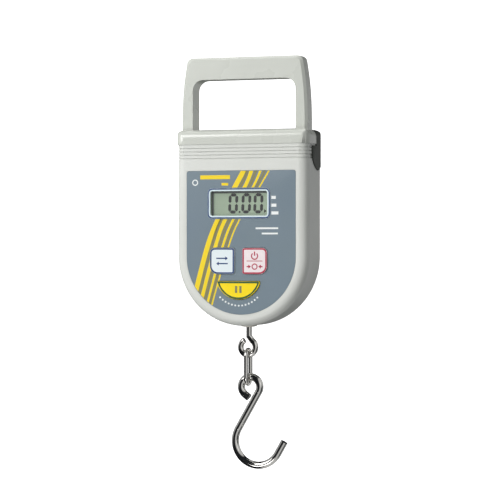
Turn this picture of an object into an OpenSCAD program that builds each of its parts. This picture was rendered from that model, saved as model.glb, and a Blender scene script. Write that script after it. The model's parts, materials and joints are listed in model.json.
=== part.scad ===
// Hand-held crane scale: a steel load train hangs in a moulded housing below a
// fixed grip handle. Millimetres, +Z up, front toward -Y, origin at the middle
// of the grip bar. The load line is the Z axis.

/* [Housing] */
// Width of the housing, and twice the radius of its round bottom
body_w = 90; // [84:1:112]
// Depth of the housing from face to back
body_d = 32; // [31:1:40]
// Height of the housing from the top of the cap to the round bottom
body_h = 127.5; // [122:0.5:160]
// Wall thickness of the mouldings
wall = 2.4; // [2:0.1:3]
// Radius of the long edges round the face and the back
edge_r = 6; // [4:0.5:8]
// Distance of the shells' seam behind the middle of the depth
seam_y = 4.4; // [4:0.1:6]
// Play round a piece that seats in another
fit = 0.15; // [0.1:0.01:0.25]

/* [Cap and ribs] */
// Height of the cap band below the top of the housing
cap_h = 9.6; // [8:0.1:14]
// How far the cap stands proud of the shells
cap_proud = 0.6; // [0.3:0.1:1]
// Radius of the cap's top edges
cap_r = 5.2; // [3:0.1:6]
// Distance between the grooves below the cap
groove_pitch = 2.2; // [1.8:0.1:3]
// Number of grooves below the cap
groove_count = 4; // [2:1:5]
// Width and depth of a groove
groove_w = 0.6; // [0.3:0.1:1]

/* [Handle] */
// Height of the grip bar
bar_h = 14.4; // [12:0.2:20]
// Clear height for the fingers below the grip bar
grip_gap = 32.8; // [28:0.2:45]
// Clear width for the fingers between the legs
grip_w = 71; // [66:0.5:76]
// Width across the legs where they meet the cap
handle_w = 86.6; // [84:0.2:88]
// Depth of the handle from front to back
handle_d = 12; // [10:0.5:16]
// Distance of the handle's middle in front of the load line
handle_y = 4.5; // [0:0.5:5]
// How far the legs lean in at the top of the bar
handle_lean = 4; // [0:0.5:6]
// Radius of the finger opening's upper corners
grip_r = 7; // [4:0.5:10]
// Chamfer along the handle's edges
handle_edge = 1.6; // [0.5:0.1:2.5]

/* [Face label] */
// Margin between the label and the edge of the housing
label_margin = 7.5; // [7:0.1:10]
// Distance from the top of the housing to the label
label_drop = 26.8; // [24:0.2:32]
// Thickness of the printed label
label_t = 0.5; // [0.3:0.1:0.8]

/* [Display] */
// Width of the display bezel
bezel_w = 43; // [38:0.5:46]
// Height of the display bezel
bezel_h = 19.7; // [17:0.1:22]
// Width of the bezel's rim
bezel_rim = 1.9; // [1.2:0.1:2.5]
// Distance from the top of the label to the bezel
bezel_drop = 11.4; // [10:0.2:16]
// Distance of the display and keys left of the middle
face_shift = 1.4; // [0:0.1:2]
// Thickness of the display glass
lcd_t = 2.8; // [2:0.1:3]

/* [Keys] */
// Width and height of the two square keys
key_w = 16.8; // [14:0.2:18]
// Distance between the middles of the two square keys
key_pitch = 22.4; // [21:0.1:24]
// Distance from the bottom of the bezel to the square keys
key_drop = 19; // [16:0.2:22]
// Width of the hold key
hold_w = 30.2; // [26:0.2:32]
// Height of the hold key
hold_h = 11.6; // [10:0.2:12]
// Distance from the square keys to the hold key
hold_drop = 4.8; // [4:0.2:6]
// How far a key stands proud of the label
key_proud = 0.9; // [0.6:0.1:1.2]
// Travel of a key
key_travel = 0.5; // [0.3:0.05:0.6]
// Play round a key in its opening
key_gap = 0.3; // [0.3:0.05:0.4]

/* [Load train] */
// Length of the load cell
cell_l = 60; // [56:1:66]
// Width and height of the load cell
cell_s = 12; // [10:0.5:13]
// Diameter of the eye rod's wire
rod_d = 3.8; // [3:0.1:4.2]
// Radius of the eye along the middle of its wire
eye_r = 5.1; // [4.9:0.1:6]
// Distance from the bottom of the housing to the middle of the eye
eye_drop = 14.1; // [13:0.1:20]
// Distance of the eye's middle left of the rod
eye_shift = 0.7; // [0:0.1:1]
// Diameter of the chain link's wire
link_d = 2.8; // [2.2:0.1:3]
// Length of the chain link between the middles of its end wires
link_l = 22.2; // [18:0.2:36]
// Width of the chain link between the middles of its wires
link_w = 8.6; // [8.4:0.1:11]
// Diameter of the hook's wire
hook_d = 4.8; // [3.6:0.1:5]
// Radius of the hook's upper loop along the middle of its wire
loop_r = 6.4; // [6:0.1:7.5]
// Radius of the hook's bowl along the middle of its wire
bowl_r = 15.7; // [13:0.1:24]
// Height from the middle of the bowl to the middle of the loop
hook_l = 35.4; // [33:0.2:50]
// Straight length at the hook's tip
tip_l = 9.2; // [5:0.2:14]

/* [Battery] */
// Width of the nine-volt battery
batt_w = 26.5; // [25:0.1:27]
// Thickness of the battery
batt_t = 17.5; // [16:0.1:17.5]
// Height of the battery with its terminals
batt_h = 48.5; // [46:0.1:49]
// Play round the battery in its compartment
batt_gap = 0.5; // [0.3:0.1:0.8]
// Thickness of the battery door
door_t = 2; // [1.8:0.1:2.2]

/* [Hidden] */
$fn = 48;
eps = 0.01;

// Housing heights and planes
body_top = -(bar_h / 2 + grip_gap);
cap_z = body_top - cap_h;
body_bottom = body_top - body_h;
arc_z = body_bottom + body_w / 2;
face_y = -body_d / 2;
back_y = body_d / 2;
inner_face = face_y + wall;
inner_back = back_y - wall;
inner_x = body_w / 2 - wall;
spigot_t = 1.6;
spigot_h = 4;

// Handle bolts and the cheeks that take them
bolt_d = 4;
bolt_head = 7.6;
bolt_z = cap_z - 6;
cheek_x = inner_x - fit;
cheek_t = 4.2;
cheek_d = 12;
cheek_z = bolt_z - 6.5;
access_d = bolt_head + 0.8;

// Dark side cover: outline heights and depths
cover_t = 1.6;
cover_x = body_w / 2 - cap_r - 1;
cover_front = -6;
cover_back = back_y - 2.5;
cover_mid = handle_d / 2 - handle_y + fit;
cover_step_z = cap_z - 1.4;
cover_wide_z = cap_z - 8;
cover_drop = 9;
cover_point = 1.4;

// Load frame, load cell and brackets
plate_t = 2;
frame_x = cheek_x - cheek_t - fit;
frame_top = cap_z - 0.4;
spacer_t = 1.5;
cell_top = frame_top - plate_t - spacer_t;
cell_z = cell_top - cell_s / 2;
drop_t = 7;
bracket_top = cell_top - cell_s - drop_t;
cell_hole = 4.2;
cell_bolts_x = [cell_l / 2 - 10, cell_l / 2 - 4];
cell_eye_d = 8.4;
cell_eye_x = 7;
cell_slot = 2;
bracket_end = 5;
nut_t = 3.2;
nut_w = 7;
washer_t = 0.8;
washer_d = 8;
rod_top = bracket_top + washer_t + nut_t + 1;
rod_play = 0.08;
bush_play = 0.35;
bush_t = 1.2;
bush_lip = 1.6;

// Eye, link and hook
eye_z = body_bottom - eye_drop;
eye_low = eye_z - eye_r;
pass_gap = 0.05;
joint_trim = 0.1;
joint_swell = 0.06;
link_top = eye_low + (rod_d + link_d) / 2 + pass_gap;
link_low = link_top - link_l;
link_r = link_w / 2;
seat_angle = 43;
seat_reach = loop_r - (hook_d + link_d) / 2 - pass_gap;
loop_x = -eye_shift + seat_reach * sin(seat_angle);
loop_z = link_low - seat_reach * cos(seat_angle);
bowl_z = loop_z - hook_l;
shaft_angle = 30;
shaft_normal = [cos(shaft_angle), -sin(shaft_angle)];
bowl_x = loop_x + ((loop_r + bowl_r) - hook_l * sin(shaft_angle)) / cos(shaft_angle);
tip_angle = -30;
loop_end = 232;
tail_l = 3.6;
eye_start = 55;
eye_sweep = 297;
neck_z = eye_z + eye_r + rod_d / 2 + 0.1;

// Label and what lines up on it
label_r = body_w / 2 - label_margin;
label_top = body_top - label_drop;
label_corner = 1.6;
face_x = -face_shift;
bezel_top = label_top - bezel_drop;
bezel_z = bezel_top - bezel_h / 2;
bezel_t = 1;
bezel_proud = 0.3;
lens_t = 1;
keys_z = bezel_top - bezel_h - key_drop - key_w / 2;
hold_top = keys_z - key_w / 2 - hold_drop;
unit_x = face_x - key_pitch / 2;
tare_x = face_x + key_pitch / 2;
hold_z = hold_top - hold_h / 2;
key_corner_in = 1.4;
key_corner_out = [5.2, 3.2];
bezel_corner = 3.2;
lens_corner = 1.4;
hold_corner = 0.6;

// Electronics, from the face inward
board_t = 1.6;
lcd_y = inner_face + 0.4;
lcd_w = bezel_w + 3.5;
lcd_h = bezel_h + 6.7;
zebra_t = 2.6;
board_y = lcd_y + lcd_t + zebra_t;
board_back = board_y + board_t;
board_top = bezel_top + 2.4;
board_w = body_w - 2 * wall - 19.2;
board_corner = 14;
post_d = 5;
post_top = [board_w / 2 - 3, board_top - 3.6];
board_screw_d = 2.2;
switch_w = 6;
switch_t = 2.6;
plunger_d = 3.2;
flange = 1.2;
flange_t = 0.8;
flange_y = inner_face + 0.2;
key_foot_y = board_y - switch_t - 0.8;

// Screws that hold the shells together
screw_d = 2.9;
screw_head = 5.6;
boss_d = 6.5;
tube_d = 8.4;
head_y = inner_back - 4.6;
boss_r = body_w / 2 - wall - boss_d / 2 - 1;
boss_upper = [body_w / 2 - wall - boss_d / 2 - 1.8, label_top - 4];
boss_lower = [boss_r * sin(39.5), arc_z - boss_r * cos(39.5)];
bosses = [for (s = [-1, 1]) for (p = [boss_upper, boss_lower]) [s * p[0], p[1]]];

// Battery, its compartment in the rear shell and its door
box_t = 1.2;
box_x0 = rod_d / 2 + box_t + 1.4;
box_w = batt_w + 2 * batt_gap;
snap_t = 5.6;
stud_h = 2.1;
box_top = bracket_top - plate_t - 10;
batt_top = box_top - snap_t + stud_h - 0.6;
box_bottom = batt_top - batt_h - batt_gap;
box_h = box_top - box_bottom;
box_cx = box_x0 + box_w / 2;
door_ledge = 1.2;
door_gap = 0.2;
door_y = back_y - 0.2 - door_t / 2;
foam_t = 0.6;
batt_back = door_y - door_t / 2 - foam_t;
batt_front = batt_back - batt_t;
box_floor = batt_front - 0.2;
door_w = box_w + 2 * door_ledge;
door_top = box_top + door_ledge;
door_pin_z = box_bottom - door_ledge;

// Foot of the board and its lower screws, which stay below the battery box
board_bottom = min(hold_top - hold_h - 2.6, box_bottom - box_t - 6.2);
post_low_z = min(board_bottom + 9, box_bottom - box_t - 3.2);
post_low = [board_w / 2 - 9 - 1.1 * (board_bottom + 9 - post_low_z), post_low_z];
posts = [for (s = [-1, 1]) for (p = [post_top, post_low]) [s * p[0], p[1]]];
door_pin_d = 1.3;
door_pin_l = 1.5;
door_pin_play = 0.06;

// Routes of the wires inside, each from its start to its end
wire_d = 1.2;
cable_d = 2;
plug_x = -post_top[0] + 7;
plug_z = board_top - 12;
plug_s = [8, 4.4, 5];
cable_route = [
    [-cell_l / 2, 0, cell_z - 3.5], [-cell_l / 2 - 0.8, 0, cell_z - 3.5],
    [-cell_l / 2 - 1.8, 0, cell_z - 3.5], [-cell_l / 2 - 3, 0, cell_z - 6],
    [-cell_l / 2 - 3, -1, cell_z - 11], [-cell_l / 2 - 1.6, -2, cell_z - 17],
    [-cell_l / 2 + 3, -2.8, cell_z - 21.5], [plug_x, board_back + 2.2, plug_z + 5],
    [plug_x, board_back + 2.2, plug_z + 3.8], [plug_x, board_back + 2.2, plug_z + plug_s[2] / 2]];
snap_z = batt_top - stud_h + snap_t;
lead_y = batt_front + batt_t / 2;
function lead_route(side) = [
    [box_x0 + 3, lead_y + side, snap_z - 2], [box_x0 - 1, lead_y + side, snap_z - 2],
    [box_x0 - 7, lead_y - 1 + side, snap_z - 2.6], [box_x0 - 13, lead_y - 3 + side, snap_z - 5],
    [box_x0 - 17, lead_y - 5 + side, snap_z - 10], [box_x0 - 19, board_back + 3 + side, snap_z - 15],
    [box_x0 - 19, board_back + 3 + side, snap_z - 18]];

// Colours
c_housing = "#d9dbd6";
c_dark = "#33372f";
c_label = "#75868f";
c_steel = "#b9bcbd";
c_board = "#2f6b45";

// ---- shared shapes -------------------------------------------------------

// Box between two corners
module block(a, b) translate(a) cube(b - a);

// Cylinders along X and Y, from one end to the other
module rod_x(d, x0, x1, y, z) translate([x0, y, z]) rotate([0, 90, 0]) cylinder(d = d, h = x1 - x0);
module rod_y(d, y0, y1, x, z) translate([x, y1, z]) rotate([90, 0, 0]) cylinder(d = d, h = y1 - y0);

// Rectangle with round corners, about the middle
module round_rect(w, h, r) {
    square([w - 2 * r, h], center = true);
    square([w, h - 2 * r], center = true);
    for (x = [-1, 1], y = [-1, 1]) translate([x * (w / 2 - r), y * (h / 2 - r)]) circle(r = r);
}

// A drawing in X and Z, given a depth from y0 to y1
module upright(y0, y1) translate([0, y1, 0]) rotate([90, 0, 0]) linear_extrude(y1 - y0) children();

// A drawing in Y and Z, given a width from x0 to x1
module sideways(x0, x1) translate([x0, 0, 0]) rotate([90, 0, 90]) linear_extrude(x1 - x0) children();

// Housing block with the round bottom, grown by g, up to a flat top
module body_block(g, top) {
    w = body_w + 2 * g;
    d = body_d + 2 * g;
    r = edge_r + g;
    translate([0, 0, arc_z]) linear_extrude(top - arc_z) round_rect(w, d, r);
    translate([0, 0, arc_z]) rotate([-90, 0, 0]) rotate_extrude(angle = 180, $fn = 96)
        intersection() {
            round_rect(w, d, r);
            translate([0, -d]) square([w, 2 * d]);
        }
}

// Cap block with round top edges, grown by g, from z_low to the top; it stands
// proud of the shells at the front and sides, and is flush with them at the back
module cap_block(g, z_low) translate([0, -cap_proud / 2, 0]) {
    w = body_w + 2 * (cap_proud + g);
    d = body_d + cap_proud + 2 * g;
    h = body_h;
    top = body_top + g;
    intersection() {
        translate([0, 0, z_low]) linear_extrude(top - z_low) round_rect(w, d, edge_r + g);
        upright(-d, d) translate([0, top - h / 2]) round_rect(w, h, cap_r + g);
        sideways(-w, w) translate([0, top - h / 2]) round_rect(d, h, cap_r + g);
    }
}

// Outline of the side cover in Y and Z, grown by g: a tongue with a pointed end
module cover_outline(g) {
    front = cover_front - g;
    half = (back_y + 1 - cover_front) / 2 + g;
    middle = front + half;
    drop = cover_drop + g;
    intersection() {
        union() {
            translate([cover_mid - g, cover_step_z - 1]) square([body_d, body_h / 2]);
            translate([front, cover_wide_z]) square([body_d, cover_step_z + g - cover_wide_z]);
            polygon([for (a = [0 : 10 : 180])
                [middle - half * sign(cos(a)) * pow(abs(cos(a)), cover_point),
                    cover_wide_z - drop * pow(sin(a), cover_point)]]);
        }
        translate([-body_d, cover_wide_z - body_d]) square([body_d + cover_back + g, body_h]);
    }
}

// Pocket for the right-hand side cover
module cover_pocket() difference() {
    sideways(cover_x - fit, body_w / 2 + 5) cover_outline(fit);
    cap_block(-cap_proud - cover_t - 0.05, cap_z - 30);
}

// Both mirror images of what is drawn on the right
module both_sides() {
    children();
    mirror([1, 0, 0]) children();
}

// Ring of wire in X and Z, from one angle to another, turning anticlockwise
module wire_arc(r, d, x, z, from, sweep) translate([x, 0, z]) rotate([90, 0, 0]) rotate([0, 0, from])
    rotate_extrude(angle = sweep, $fn = 64) translate([r, 0]) circle(d = d, $fn = 32);

// Straight wire in X and Z between two points, just short of them
module wire_run(d, a, b) {
    v = b - a;
    start = a + v * joint_trim / norm(v);
    translate([start[0], 0, start[1]]) rotate([0, atan2(v[0], v[1]), 0])
        cylinder(d = d, h = norm(v) - 2 * joint_trim, $fn = 32);
}

// Ball where two stretches of wire meet
module wire_joint(d, p) translate([p[0], 0, p[1]]) sphere(d = d + joint_swell, $fn = 32);

// Hexagon nut about Z
module hex_nut(across, h, bore) difference() {
    cylinder(d = across / cos(30), h = h, $fn = 6);
    translate([0, 0, -1]) cylinder(d = bore, h = h + 2);
}

// Tube swept along a route with eight sides, with the corners smoothed
function bend(p, i, t) = let (a = p[max(i - 1, 0)], b = p[i], c = p[i + 1], d = p[min(i + 2, len(p) - 1)])
    0.5 * (2 * b + (c - a) * t + (2 * a - 5 * b + 4 * c - d) * t * t + (3 * b - a - 3 * c + d) * t * t * t);
function smooth_route(p, steps) = concat(
    [for (i = [0 : len(p) - 2]) for (k = [0 : steps - 1]) bend(p, i, k / steps)],
    [p[len(p) - 1]]);
function unit(v) = v / norm(v);
function ring_at(p, i, d, sides) = let (
        run = unit(p[min(i + 1, len(p) - 1)] - p[max(i - 1, 0)]),
        side = unit(cross(run, abs(run[1]) < 0.9 ? [0, 1, 0] : [1, 0, 0])),
        up = cross(run, side))
    [for (k = [0 : sides - 1]) p[i] + d / 2 * (cos(360 * k / sides) * side + sin(360 * k / sides) * up)];
module wire_tube(route, d, steps = 4, sides = 8) {
    p = smooth_route(route, steps);
    n = len(p);
    points = [for (i = [0 : n - 1]) each ring_at(p, i, d, sides)];
    walls = [for (i = [0 : n - 2]) for (k = [0 : sides - 1]) let (k2 = (k + 1) % sides)
        [i * sides + k, i * sides + k2, (i + 1) * sides + k2, (i + 1) * sides + k]];
    ends = [[for (k = [sides - 1 : -1 : 0]) k], [for (k = [0 : sides - 1]) (n - 1) * sides + k]];
    polyhedron(points = points, faces = concat(walls, ends), convexity = 10);
}

// ---- handle --------------------------------------------------------------

// Half width of the handle at a height
function lean_x(z) = let (t = max(0, (z - body_top) / (bar_h / 2 - body_top)))
    handle_w / 2 - handle_lean * pow(t, 2.6);

// Outer outline of the handle, shrunk by g
module handle_outline(g) {
    steps = 8;
    top_z = bar_h / 2;
    knee_z = top_z - 4;
    side = [for (k = [0 : steps]) let (z = body_top - 6 + (knee_z - body_top + 6) * k / steps)
        [lean_x(z) - g, z]];
    knee = [for (a = [15 : 15 : 90])
        [lean_x(knee_z) - 4 - g + 4 * cos(a), knee_z - g + 4 * sin(a)]];
    right = concat(side, knee);
    left = [for (i = [len(right) - 1 : -1 : 0]) [-right[i][0], right[i][1]]];
    polygon(concat(right, left));
}

// Finger opening, grown by g
module grip_outline(g) {
    w = grip_w + 2 * g;
    r = grip_r + g;
    top_z = -bar_h / 2 + g;
    translate([-w / 2, body_top - 3]) square([w, top_z - r - body_top + 3]);
    translate([-w / 2 + r, body_top - 3]) square([w - 2 * r, top_z - body_top + 3]);
    for (s = [-1, 1]) translate([s * (w / 2 - r), top_z - r]) circle(r = r);
}

module handle() color(c_housing) {
    y0 = -handle_y - handle_d / 2;
    y1 = -handle_y + handle_d / 2;
    e = handle_edge;
    cavity = wall + fit + spigot_t;
    difference() {
        union() {
            difference() {
                hull() {
                    upright(y0, y1) handle_outline(e);
                    upright(y0 + e, y1 - e) handle_outline(0);
                }
                upright(y0 - 1, y1 + 1) grip_outline(0);
                block([-body_w, -body_d, body_top - 20], [body_w, body_d, body_top - 2.6]);
            }
            difference() {
                union() {
                    cap_block(0, cap_z);
                    translate([0, 0, cap_z - spigot_h]) linear_extrude(spigot_h + 1)
                        round_rect(2 * (inner_x - fit), body_d - 2 * (wall + fit), edge_r - wall);
                }
                translate([0, 0, cap_z - spigot_h - 1]) linear_extrude(body_top - cap_z + spigot_h - 2)
                    round_rect(body_w - 2 * cavity, body_d - 2 * cavity, 2);
            }
            both_sides()
                block([cheek_x - cheek_t, -cheek_d / 2, cheek_z], [cheek_x, cheek_d / 2, body_top - 2]);
        }
        both_sides() {
            cover_pocket();
            rod_x(bolt_d + 0.2, 0, body_w / 2, 0, bolt_z);
            translate([cheek_x - 2.2, 0, bolt_z]) rotate([0, 90, 0])
                cylinder(d1 = bolt_d + 0.2, d2 = bolt_head + 0.2, h = 2.2 + eps);
        }
    }
}

module handle_bolts() color(c_steel) both_sides() difference() {
    union() {
        rod_x(bolt_d, frame_x - plate_t - nut_t - 1, cheek_x - 1, 0, bolt_z);
        translate([cheek_x - 2.2, 0, bolt_z]) rotate([0, 90, 0])
            cylinder(d1 = bolt_d, d2 = bolt_head, h = 2.1);
    }
    translate([cheek_x - 1.3, 0, bolt_z]) rotate([0, 90, 0]) cylinder(d = 2.9, h = 2, $fn = 6);
}

module handle_nuts() color(c_steel) both_sides()
    translate([frame_x - plate_t - nut_t, 0, bolt_z]) rotate([0, 90, 0]) rotate([0, 0, 30])
        hex_nut(nut_w, nut_t, bolt_d);

// ---- housing -------------------------------------------------------------

// Grooves round the housing below the cap
module rib_grooves() for (k = [1 : groove_count]) difference() {
    z = cap_z - 0.4 - groove_pitch * k;
    block([-body_w, -body_d, z - groove_w / 2], [body_w, body_d, z + groove_w / 2]);
    translate([0, 0, z - 1]) linear_extrude(2)
        round_rect(body_w - 2 * groove_w, body_d - 2 * groove_w, edge_r - groove_w);
}

// One half of the hollow housing between two depths
module shell_half(y0, y1) intersection() {
    difference() {
        body_block(0, cap_z);
        body_block(-wall, cap_z + 1);
    }
    block([-body_w, y0, body_bottom - 1], [body_w, y1, cap_z]);
}

// Lip that runs round inside the seam
module seam_lip(play, y0, y1) intersection() {
    difference() {
        body_block(-wall / 2 - play, cap_z - spigot_h - 2);
        body_block(-wall - 1, cap_z);
    }
    block([-body_w, y0, body_bottom - 1], [body_w, y1, cap_z - spigot_h - 2]);
}

// Outline of the label, grown by g
module label_outline(g) {
    r = label_r + g;
    c = label_corner;
    translate([0, arc_z]) circle(r = r, $fn = 96);
    translate([-r, arc_z]) square([2 * r, label_top + g - c - arc_z]);
    translate([-r + c, arc_z]) square([2 * (r - c), label_top + g - arc_z]);
    for (s = [-1, 1]) translate([s * (r - c), label_top + g - c]) circle(r = c);
}

// Outline of the hold key, a half moon below a straight top, grown by g
module hold_outline(g) {
    moon_r = (pow(hold_w / 2, 2) + pow(hold_h, 2)) / (2 * hold_h);
    intersection() {
        translate([face_x, hold_top - hold_h + moon_r]) circle(r = moon_r + g, $fn = 96);
        translate([face_x - hold_w / 2 - g + hold_corner, hold_top - hold_h - g])
            square([hold_w + 2 * g - 2 * hold_corner, hold_h + 2 * g]);
    }
}

// Outline of a square key, grown by g, rounder on the side that faces the
// edge of the label: side is -1 for the left key and 1 for the right key
module key_outline(x, side, g) translate([x, keys_z]) hull() for (up = [0, 1]) {
    v = (up * 2 - 1);
    r_in = key_corner_in + g;
    r_out = key_corner_out[up] + g;
    translate([-side * (key_w / 2 + g - r_in), v * (key_w / 2 + g - r_in)]) circle(r = r_in, $fn = 32);
    translate([side * (key_w / 2 + g - r_out), v * (key_w / 2 + g - r_out)]) circle(r = r_out, $fn = 32);
}

// Outline of the bezel, grown by g
module bezel_outline(g, r) translate([face_x, bezel_z]) round_rect(bezel_w + 2 * g, bezel_h + 2 * g, r);

// The three keys' outlines, grown by g
module key_outlines(g) {
    key_outline(unit_x, -1, g);
    key_outline(tare_x, 1, g);
    hold_outline(g);
}

module front_housing() color(c_housing) difference() {
    union() {
        shell_half(face_y, seam_y);
        difference() {
            seam_lip(0.1, seam_y - 2, seam_y + 1.2);
            body_block(-wall, cap_z);
        }
        for (b = bosses) rod_y(boss_d, inner_face - 0.5, seam_y - 0.2, b[0], b[1]);
        for (p = posts) rod_y(post_d, inner_face - 0.5, board_y, p[0], p[1]);
        rod_shaft_seat();
    }
    rib_grooves();
    upright(face_y - 1, face_y + label_t) label_outline(fit / 2);
    upright(face_y - 1, inner_face + 1) bezel_outline(fit - 1, bezel_corner - 1);
    upright(face_y - 1, face_y + bezel_t) bezel_outline(fit, bezel_corner + fit);
    upright(face_y - 1, inner_face + 1) key_outlines(key_gap);
    for (b = bosses) rod_y(screw_d, seam_y - 13, seam_y + 1, b[0], b[1]);
    for (p = posts) rod_y(board_screw_d, board_y - 4.6, board_y + 1, p[0], p[1]);
    translate([0, 0, body_bottom - 1]) cylinder(d = rod_d + 2 * (bush_play + bush_t), h = 8);
    both_sides() {
        cover_pocket();
        rod_x(access_d, cheek_x - 1, body_w / 2 + 2, 0, bolt_z);
    }
}

// Boss inside the round bottom that holds the rod's bush
module rod_shaft_seat() intersection() {
    translate([0, 0, body_bottom]) cylinder(d = rod_d + 2 * (bush_play + bush_t) + 2.4, h = 5.5);
    body_block(-1, cap_z);
    block([-10, -10, body_bottom], [10, seam_y - 0.2, arc_z]);
}

module rear_housing() color(c_housing) difference() {
    union() {
        difference() {
            shell_half(seam_y, back_y);
            seam_lip(0, seam_y - 1, seam_y + 1.4);
        }
        for (b = bosses) rod_y(tube_d, seam_y, inner_back + 0.5, b[0], b[1]);
        block([box_x0 - box_t, box_floor - box_t, box_bottom - box_t],
            [box_x0 + box_w + box_t, inner_back + 0.5, box_top + box_t]);
    }
    rib_grooves();
    block([box_x0, box_floor, box_bottom], [box_x0 + box_w, back_y + 1, box_top]);
    block([box_cx - door_w / 2 - door_gap, door_y - door_t / 2 - 0.1, door_pin_z - door_t / 2 - door_gap],
        [box_cx + door_w / 2 + door_gap, back_y + 1, door_top + door_gap]);
    block([box_cx - 6.2, back_y - 1.4, door_top - 1], [box_cx + 6.2, back_y + 1, door_top + 3]);
    rod_x(door_pin_d + 2 * door_pin_play, box_cx - door_w / 2 - door_pin_l - 0.4,
        box_cx + door_w / 2 + door_pin_l + 0.4, door_y, door_pin_z);
    block([box_x0 - box_t - 1, lead_y - 3, snap_z - 4.5], [box_x0 + 1, lead_y + 3, box_top - 1]);
    for (b = bosses) {
        rod_y(screw_d + 0.4, seam_y - 1, back_y + 1, b[0], b[1]);
        rod_y(screw_head + 0.6, head_y, back_y + 1, b[0], b[1]);
    }
    both_sides() cover_pocket();
}

module housing_screws() color(c_steel) for (b = bosses) difference() {
    union() {
        rod_y(screw_d, seam_y - 12, head_y + 0.5, b[0], b[1]);
        rod_y(screw_head, head_y, head_y + 2, b[0], b[1]);
    }
    for (a = [0, 90]) translate([b[0], head_y + 2, b[1]]) rotate([0, a, 0]) cube([3, 2, 0.7], center = true);
}

// Dark cover over the bolt on the right-hand side
module side_cover() {
    intersection() {
        sideways(cover_x, body_w / 2 + 5) cover_outline(0);
        difference() {
            cap_block(0, cap_z - 30);
            cap_block(-cap_proud - cover_t, cap_z - 40);
        }
    }
    rod_x(access_d - 2 * fit, cheek_x + 0.4, body_w / 2 - cover_t + 0.2, 0, bolt_z);
}
module side_cover_right() color(c_dark) side_cover();
module side_cover_left() color(c_dark) mirror([1, 0, 0]) side_cover();

module rod_bush() color(c_dark) difference() {
    bore = rod_d + 2 * bush_play;
    union() {
        translate([0, 0, body_bottom - 0.8]) cylinder(d = bore + 2 * bush_t - fit, h = 6.5);
        intersection() {
            translate([0, 0, body_bottom - 1.2]) cylinder(d = bore + 2 * (bush_t + bush_lip), h = 3);
            difference() {
                body_block(0.7, cap_z);
                body_block(0, cap_z);
            }
        }
    }
    translate([0, 0, body_bottom - 5]) cylinder(d = bore, h = 16);
}

// ---- face ----------------------------------------------------------------

module face_label() color(c_label) upright(face_y, face_y + label_t) difference() {
    label_outline(-fit / 2);
    bezel_outline(fit, bezel_corner + fit);
    key_outlines(key_gap);
}

module display_bezel() color("#b7d3da") difference() {
    upright(face_y - bezel_proud, face_y + bezel_t) bezel_outline(0, bezel_corner);
    upright(face_y - 1, face_y + bezel_t + 1) bezel_outline(-bezel_rim, lens_corner);
}

module display_window() color("#dfe8e4", 0.5)
    upright(face_y, face_y + lens_t) bezel_outline(-bezel_rim - 0.05, lens_corner);

// Rectangle of the glass grown by g
module glass_outline(g) translate([face_x, bezel_z]) square([lcd_w + g, lcd_h + g], center = true);

module lcd_glass() color("#9fab98") upright(lcd_y, lcd_y + lcd_t) glass_outline(0);

module lcd_holder() color("#e8e8e4") difference() {
    upright(lcd_y + 0.4, board_y) glass_outline(3.4);
    upright(lcd_y - 1, lcd_y + lcd_t) glass_outline(0.3);
    upright(lcd_y - 1, board_y + 1) glass_outline(-2);
}

module zebra_strips() color("#2b2b2b") for (s = [-1, 1])
    upright(lcd_y + lcd_t, board_y) translate([face_x, bezel_z + s * (lcd_h / 2 - 2.4)])
        square([lcd_w - 8, 2], center = true);

// ---- electronics ---------------------------------------------------------

module main_board() color(c_board) difference() {
    upright(board_y, board_back) polygon([
        [-board_w / 2, board_top], [board_w / 2, board_top],
        [board_w / 2, board_bottom + board_corner], [board_w / 2 - board_corner, board_bottom],
        [-board_w / 2 + board_corner, board_bottom], [-board_w / 2, board_bottom + board_corner]]);
    for (p = posts) rod_y(board_screw_d + 0.2, board_y - 1, board_back + 1, p[0], p[1]);
    for (b = bosses) rod_y(boss_d + fit, board_y - 1, board_back + 1, b[0], b[1]);
}

module board_chips() color("#222426") {
    y0 = board_back;
    rod_y(11, y0, y0 + 1.4, -17, keys_z + 2);
    block([-24, y0, keys_z - 16], [-14, y0 + 1.6, keys_z - 12]);
    block([-12, y0, keys_z + 12], [-8, y0 + 1.4, keys_z + 17]);
    rod_y(4, y0, y0 + 3.4, -26, keys_z + 14);
    block([-9, y0, keys_z - 18], [-4, y0 + 1.2, keys_z - 13]);
}

module board_screws() color(c_steel) for (p = posts) {
    rod_y(board_screw_d, board_y - 4, board_back + 0.2, p[0], p[1]);
    rod_y(4, board_back, board_back + 1.5, p[0], p[1]);
}

module cable_plug() color("#e6e2d4") block([plug_x - plug_s[0] / 2, board_back, plug_z - plug_s[2] / 2],
    [plug_x + plug_s[0] / 2, board_back + plug_s[1], plug_z + plug_s[2] / 2]);

// Middles of the three switches
switches = [[unit_x, keys_z], [tare_x, keys_z], [face_x, hold_z]];

module switch_bodies() color("#2c2d30") for (p = switches) difference() {
    block([p[0] - switch_w / 2, board_y - switch_t, p[1] - switch_w / 2],
        [p[0] + switch_w / 2, board_y, p[1] + switch_w / 2]);
    rod_y(plunger_d + 0.6, board_y - switch_t - 1, board_y - 0.6, p[0], p[1]);
}

// Plunger that a key pushes into its switch
module plunger(p) color("#d8d4c8")
    rod_y(plunger_d, key_foot_y, board_y - 0.6 - key_travel - 0.35, p[0], p[1]);
module unit_plunger() plunger(switches[0]);
module tare_plunger() plunger(switches[1]);
module hold_plunger() plunger(switches[2]);

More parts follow.
